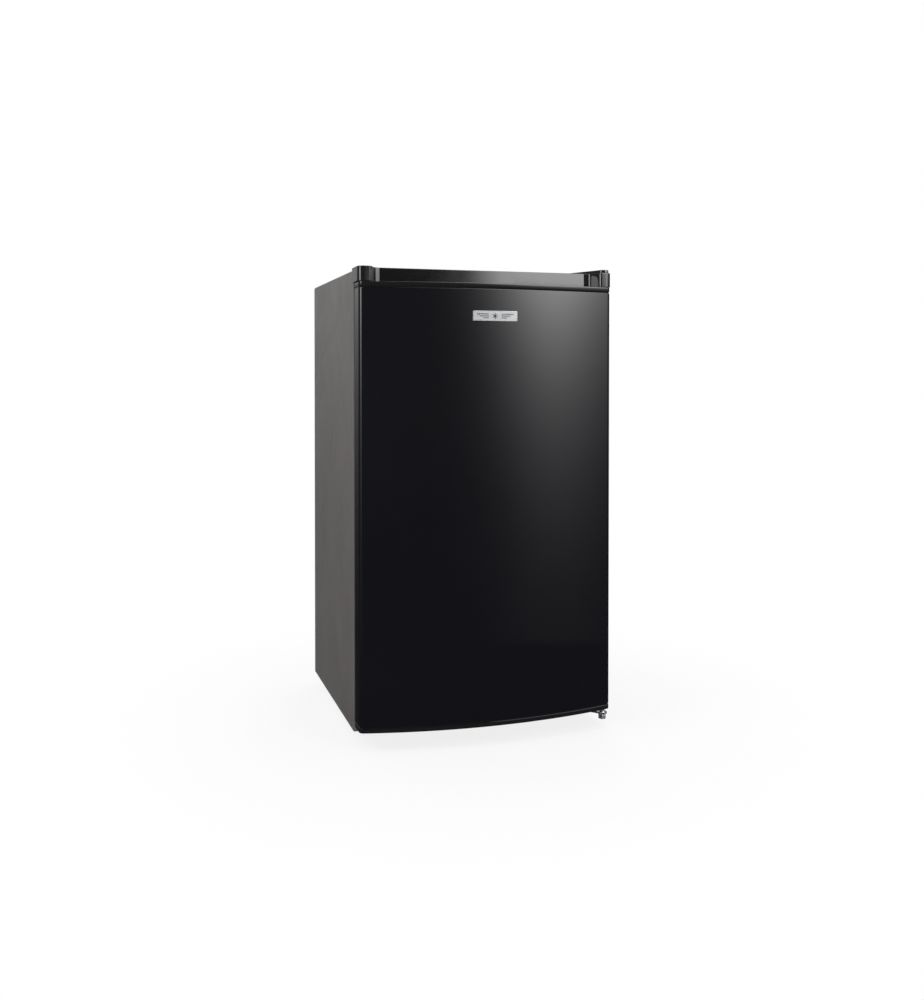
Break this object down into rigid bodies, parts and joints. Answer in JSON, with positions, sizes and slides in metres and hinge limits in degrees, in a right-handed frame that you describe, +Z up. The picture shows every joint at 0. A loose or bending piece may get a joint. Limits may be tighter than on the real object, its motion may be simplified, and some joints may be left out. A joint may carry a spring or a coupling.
{
  "type": "mini fridge",
  "caption": "Free-standing compact fridge with a bowed hinged door, chiller box, glass shelves, crisper drawer, door bins and a rear condenser.",
  "frame": {"origin": "middle of the base on the floor, under the centre of the overall box", "axes": "+X to the viewer's right across the front, -Y out of the door's front, +Z up"},
  "size_m": [0.48, 0.5, 0.851],
  "materials": {
    "shell_paint": "satin dark grey paint on sheet steel",
    "door_gloss": "high-gloss black coated sheet steel",
    "black_plastic": "moulded black plastic, semi-gloss",
    "white_plastic": "white moulded and thermoformed plastic",
    "clear_plastic": "translucent moulded plastic",
    "foam": "rigid insulating foam, unpainted",
    "gasket_rubber": "matt dark grey magnetic door seal",
    "rubber": "matt black rubber",
    "zinc": "zinc-plated steel",
    "galvanised": "galvanised sheet steel with a faint spangle",
    "aluminium": "anodised aluminium sheet",
    "copper": "drawn copper tube, slightly tarnished",
    "black_enamel": "black enamel on steel",
    "glass": "clear tempered glass with a green edge",
    "badge_metal": "satin silver metal badge"
  },
  "bodies": {
    "cabinet": {"outer_shell": "shell_paint", "cabinet_foam": "foam", "inner_liner": "white_plastic", "back_panel": "galvanised", "compressor_bay_plate": "galvanised", "bottom_plate": "galvanised", "compressor_base": "galvanised", "cable_gland": "rubber", "top_front_strip": "black_plastic", "corner_cap_left": "black_plastic", "corner_cap_right": "black_plastic", "hinge_cover": "black_plastic", "upper_hinge_bracket": "zinc", "upper_hinge_pin": "zinc", "upper_hinge_screw_1": "zinc", "upper_hinge_screw_2": "zinc", "lower_hinge_bracket": "zinc", "lower_hinge_pin": "zinc", "lower_hinge_screw_1": "zinc", "lower_hinge_screw_2": "zinc", "rear_foot_left": "black_plastic", "rear_foot_right": "black_plastic", "compressor": "black_enamel", "grommet_1": "rubber", "grommet_2": "rubber", "grommet_3": "rubber", "grommet_4": "rubber", "terminal_box": "black_plastic", "drip_pan": "black_plastic", "drain_tube": "white_plastic", "condenser_coil": "black_enamel", "filter_drier": "copper", "discharge_tube": "copper", "suction_tube": "copper", "evaporator_box": "aluminium", "freezer_frame": "white_plastic", "shelf_glass_upper": "glass", "shelf_trim_upper": "white_plastic", "shelf_glass_lower": "glass", "shelf_trim_lower": "white_plastic", "crisper_cover": "glass", "thermostat_housing": "white_plastic"},
    "door": {"door_outer_panel": "door_gloss", "door_foam": "foam", "door_inner_liner": "white_plastic", "door_top_cap": "black_plastic", "door_bottom_cap": "black_plastic", "door_gasket": "gasket_rubber", "door_hinge_bush_top": "white_plastic", "door_hinge_bush_bottom": "white_plastic", "badge": "badge_metal"},
    "levelling_foot_left": {"levelling_foot_left": "black_plastic"},
    "levelling_foot_right": {"levelling_foot_right": "black_plastic"},
    "thermostat_knob": {"thermostat_knob": "white_plastic"},
    "freezer_flap": {"freezer_flap": "white_plastic"},
    "chiller_tray": {"chiller_tray": "clear_plastic"},
    "crisper_drawer": {"crisper_drawer": "clear_plastic"},
    "door_bin_upper": {"door_bin_upper": "clear_plastic"},
    "door_bin_middle": {"door_bin_middle": "clear_plastic"},
    "door_bin_bottle": {"door_bin_bottle": "clear_plastic"}
  },
  "joints": [
    {"name": "door_hinge", "type": "hinge", "parent": "cabinet", "child": "door", "pos_m": [0.228, -0.206, 0.43], "axis": [0, 0, 1], "range_deg": [0, 135]},
    {"name": "freezer_flap_hinge", "type": "hinge", "parent": "cabinet", "child": "freezer_flap", "pos_m": [0, -0.0915, 0.763], "axis": [-1, 0, 0], "range_deg": [0, 40]},
    {"name": "chiller_tray_slide", "type": "slide", "parent": "cabinet", "child": "chiller_tray", "axis": [0, -1, 0], "range_m": [0, 0.08]},
    {"name": "crisper_slide", "type": "slide", "parent": "cabinet", "child": "crisper_drawer", "axis": [0, -1, 0], "range_m": [0, 0.018]},
    {"name": "thermostat_turn", "type": "hinge", "parent": "cabinet", "child": "thermostat_knob", "pos_m": [0.1717, -0.015, 0.5534], "axis": [-1, 0, 0], "range_deg": [0, 300]},
    {"name": "bin_upper_lift", "type": "slide", "parent": "door", "child": "door_bin_upper", "axis": [0, 0, 1], "range_m": [0, 0.022]},
    {"name": "bin_middle_lift", "type": "slide", "parent": "door", "child": "door_bin_middle", "axis": [0, 0, 1], "range_m": [0, 0.022]},
    {"name": "bin_bottle_lift", "type": "slide", "parent": "door", "child": "door_bin_bottle", "axis": [0, 0, 1], "range_m": [0, 0.022]},
    {"name": "foot_left_turn", "type": "hinge", "parent": "cabinet", "child": "levelling_foot_left", "pos_m": [-0.2, -0.098, 0.02], "axis": [0, 0, 1], "continuous": true},
    {"name": "foot_right_turn", "type": "hinge", "parent": "cabinet", "child": "levelling_foot_right", "pos_m": [0.2, -0.098, 0.02], "axis": [0, 0, 1], "continuous": true}
  ]
}
